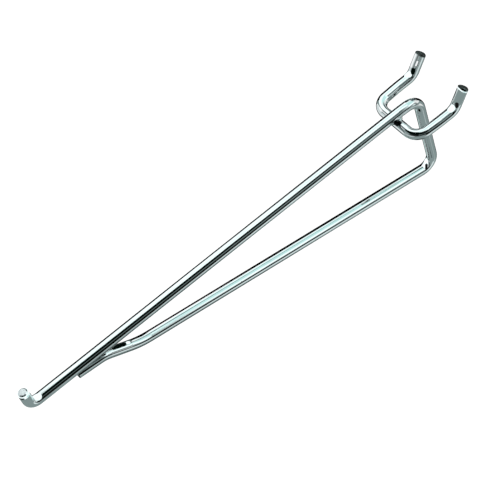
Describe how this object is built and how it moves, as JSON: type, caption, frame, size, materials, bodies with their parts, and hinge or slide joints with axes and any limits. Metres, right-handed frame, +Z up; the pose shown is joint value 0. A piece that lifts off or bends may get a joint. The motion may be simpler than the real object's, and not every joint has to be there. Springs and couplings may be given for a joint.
{
  "type": "pegboard shelf bracket",
  "caption": "Triangular bracket of bright plated round steel wire: an upturned lip, a straight top rail and a brace, with a welded U of wire whose hooked ends hang it on a pegboard.",
  "frame": {"origin": "on the pegboard's front face, midway between the two pegs and level with their axes", "axes": "+Y into the board along the pegs, -Y out along the rail to the lip, +Z up, X across"},
  "size_m": [0.0298, 0.2102, 0.0549],
  "materials": {
    "plated_wire": "bright plated drawn steel wire, mirror-like with faint draw lines",
    "plated_weld": "plated weld metal, slightly duller and uneven"
  },
  "bodies": {
    "root": {"frame_wire": "plated_wire", "peg_wire": "plated_wire", "crossing_weld": "plated_weld"}
  },
  "joints": []
}
